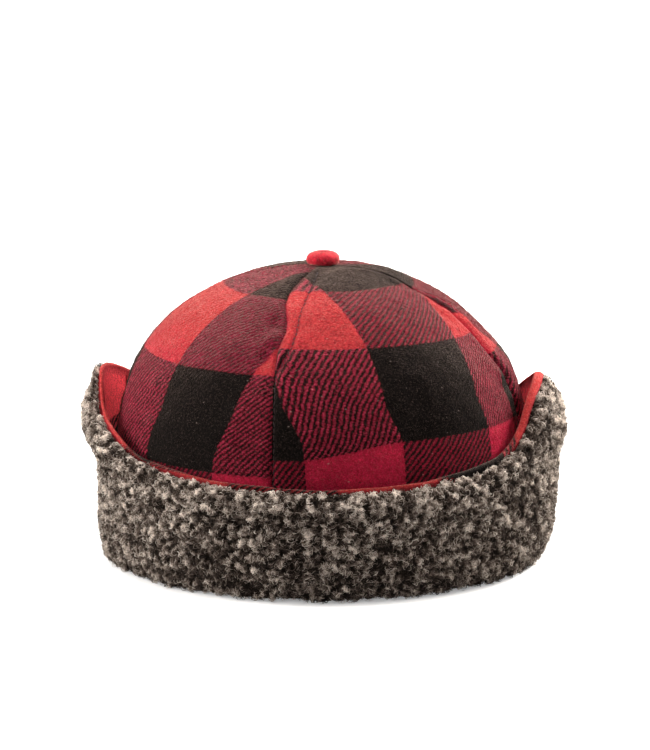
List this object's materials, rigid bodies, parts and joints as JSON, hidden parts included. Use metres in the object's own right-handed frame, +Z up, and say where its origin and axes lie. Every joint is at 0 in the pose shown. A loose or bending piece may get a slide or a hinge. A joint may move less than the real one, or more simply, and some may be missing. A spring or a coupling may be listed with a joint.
{
  "type": "trapper hat",
  "caption": "Soft wool winter hat with a panelled crown, a covered top button and a fleece-faced cuff whose front, ear and back flaps fold down.",
  "frame": {"origin": "centre of the hat on the plane it rests on", "axes": "+Z up; the forehead faces -Y and the wearer's left is +X"},
  "size_m": [0.2202, 0.2202, 0.145],
  "materials": {
    "plaid_wool": "red and black twill wool, buffalo check",
    "red_wool": "brushed red wool",
    "cuff_wool": "red and black twill wool",
    "curly_fleece": "curly grey and brown pile",
    "quilted_lining": "quilted satin",
    "seam_tape": "woven cotton tape",
    "sweatband": "grosgrain ribbed band",
    "label": "blank woven label",
    "button_metal": "plated steel",
    "thread": "sewing thread"
  },
  "bodies": {
    "crown": {"crown_panel_front_left": "plaid_wool", "crown_panel_back_left": "plaid_wool", "crown_panel_back_right": "plaid_wool", "crown_panel_front_right": "plaid_wool", "lining_panel_front_left": "quilted_lining", "lining_panel_back_left": "quilted_lining", "lining_panel_back_right": "quilted_lining", "lining_panel_front_right": "quilted_lining", "seam_tape_front": "seam_tape", "seam_tape_left": "seam_tape", "seam_tape_back": "seam_tape", "seam_tape_right": "seam_tape", "sweatband": "sweatband", "sweatband_reed": "seam_tape", "size_label": "label", "button_cover": "red_wool", "button_shell": "button_metal", "button_post": "button_metal", "button_washer": "button_metal"},
    "front_flap_1": {"front_flap_fleece_1": "curly_fleece", "front_flap_backing_1": "cuff_wool"},
    "front_flap_2": {"front_flap_fleece_2": "curly_fleece", "front_flap_backing_2": "cuff_wool"},
    "front_flap_3": {"front_flap_fleece_3": "curly_fleece", "front_flap_backing_3": "cuff_wool"},
    "front_flap_4": {"front_flap_fleece_4": "curly_fleece", "front_flap_backing_4": "cuff_wool"},
    "left_ear_flap_1": {"left_ear_flap_fleece_1": "curly_fleece", "left_ear_flap_backing_1": "cuff_wool"},
    "left_ear_flap_2": {"left_ear_flap_fleece_2": "curly_fleece", "left_ear_flap_backing_2": "cuff_wool"},
    "left_ear_flap_3": {"left_ear_flap_fleece_3": "curly_fleece", "left_ear_flap_backing_3": "cuff_wool"},
    "left_ear_flap_4": {"left_ear_flap_fleece_4": "curly_fleece", "left_ear_flap_backing_4": "cuff_wool"},
    "back_flap_1": {"back_flap_fleece_1": "curly_fleece", "back_flap_backing_1": "cuff_wool"},
    "back_flap_2": {"back_flap_fleece_2": "curly_fleece", "back_flap_backing_2": "cuff_wool"},
    "back_flap_3": {"back_flap_fleece_3": "curly_fleece", "back_flap_backing_3": "cuff_wool"},
    "back_flap_4": {"back_flap_fleece_4": "curly_fleece", "back_flap_backing_4": "cuff_wool"},
    "right_ear_flap_1": {"right_ear_flap_fleece_1": "curly_fleece", "right_ear_flap_backing_1": "cuff_wool"},
    "right_ear_flap_2": {"right_ear_flap_fleece_2": "curly_fleece", "right_ear_flap_backing_2": "cuff_wool"},
    "right_ear_flap_3": {"right_ear_flap_fleece_3": "curly_fleece", "right_ear_flap_backing_3": "cuff_wool"},
    "right_ear_flap_4": {"right_ear_flap_fleece_4": "curly_fleece", "right_ear_flap_backing_4": "cuff_wool"}
  },
  "joints": [
    {"name": "front_flap_fold_1", "type": "hinge", "parent": "crown", "child": "front_flap_1", "pos_m": [-0.05517, -0.08256, 0.005], "axis": [0.8315, -0.5556, 0], "range_deg": [0, 175]},
    {"name": "front_flap_fold", "type": "hinge", "parent": "crown", "child": "front_flap_2", "pos_m": [-0.01937, -0.09739, 0.005], "axis": [0.9808, -0.1951, 0], "range_deg": [0, 175]},
    {"name": "front_flap_fold_3", "type": "hinge", "parent": "crown", "child": "front_flap_3", "pos_m": [0.01937, -0.09739, 0.005], "axis": [0.9808, 0.1951, 0], "range_deg": [0, 175]},
    {"name": "front_flap_fold_4", "type": "hinge", "parent": "crown", "child": "front_flap_4", "pos_m": [0.05517, -0.08256, 0.005], "axis": [0.8315, 0.5556, 0], "range_deg": [0, 175]},
    {"name": "left_ear_flap_fold_1", "type": "hinge", "parent": "crown", "child": "left_ear_flap_1", "pos_m": [0.08256, -0.05517, 0.005], "axis": [0.5556, 0.8315, 0], "range_deg": [0, 175]},
    {"name": "left_ear_flap_fold", "type": "hinge", "parent": "crown", "child": "left_ear_flap_2", "pos_m": [0.09739, -0.01937, 0.005], "axis": [0.1951, 0.9808, 0], "range_deg": [0, 175]},
    {"name": "left_ear_flap_fold_3", "type": "hinge", "parent": "crown", "child": "left_ear_flap_3", "pos_m": [0.09739, 0.01937, 0.005], "axis": [-0.1951, 0.9808, 0], "range_deg": [0, 175]},
    {"name": "left_ear_flap_fold_4", "type": "hinge", "parent": "crown", "child": "left_ear_flap_4", "pos_m": [0.08256, 0.05517, 0.005], "axis": [-0.5556, 0.8315, 0], "range_deg": [0, 175]},
    {"name": "back_flap_fold_1", "type": "hinge", "parent": "crown", "child": "back_flap_1", "pos_m": [0.05517, 0.08256, 0.005], "axis": [-0.8315, 0.5556, 0], "range_deg": [0, 175]},
    {"name": "back_flap_fold", "type": "hinge", "parent": "crown", "child": "back_flap_2", "pos_m": [0.01937, 0.09739, 0.005], "axis": [-0.9808, 0.1951, 0], "range_deg": [0, 175]},
    {"name": "back_flap_fold_3", "type": "hinge", "parent": "crown", "child": "back_flap_3", "pos_m": [-0.01937, 0.09739, 0.005], "axis": [-0.9808, -0.1951, 0], "range_deg": [0, 175]},
    {"name": "back_flap_fold_4", "type": "hinge", "parent": "crown", "child": "back_flap_4", "pos_m": [-0.05517, 0.08256, 0.005], "axis": [-0.8315, -0.5556, 0], "range_deg": [0, 175]},
    {"name": "right_ear_flap_fold_1", "type": "hinge", "parent": "crown", "child": "right_ear_flap_1", "pos_m": [-0.08256, 0.05517, 0.005], "axis": [-0.5556, -0.8315, 0], "range_deg": [0, 175]},
    {"name": "right_ear_flap_fold", "type": "hinge", "parent": "crown", "child": "right_ear_flap_2", "pos_m": [-0.09739, 0.01937, 0.005], "axis": [-0.1951, -0.9808, 0], "range_deg": [0, 175]},
    {"name": "right_ear_flap_fold_3", "type": "hinge", "parent": "crown", "child": "right_ear_flap_3", "pos_m": [-0.09739, -0.01937, 0.005], "axis": [0.1951, -0.9808, 0], "range_deg": [0, 175]},
    {"name": "right_ear_flap_fold_4", "type": "hinge", "parent": "crown", "child": "right_ear_flap_4", "pos_m": [-0.08256, -0.05517, 0.005], "axis": [0.5556, -0.8315, 0], "range_deg": [0, 175]}
  ],
  "couplings": [
    {"joint": "front_flap_fold_1", "follows": "front_flap_fold", "ratio": 1},
    {"joint": "front_flap_fold_3", "follows": "front_flap_fold", "ratio": 1},
    {"joint": "front_flap_fold_4", "follows": "front_flap_fold", "ratio": 1},
    {"joint": "left_ear_flap_fold_1", "follows": "left_ear_flap_fold", "ratio": 1},
    {"joint": "left_ear_flap_fold_3", "follows": "left_ear_flap_fold", "ratio": 1},
    {"joint": "left_ear_flap_fold_4", "follows": "left_ear_flap_fold", "ratio": 1},
    {"joint": "back_flap_fold_1", "follows": "back_flap_fold", "ratio": 1},
    {"joint": "back_flap_fold_3", "follows": "back_flap_fold", "ratio": 1},
    {"joint": "back_flap_fold_4", "follows": "back_flap_fold", "ratio": 1},
    {"joint": "right_ear_flap_fold_1", "follows": "right_ear_flap_fold", "ratio": 1},
    {"joint": "right_ear_flap_fold_3", "follows": "right_ear_flap_fold", "ratio": 1},
    {"joint": "right_ear_flap_fold_4", "follows": "right_ear_flap_fold", "ratio": 1}
  ]
}
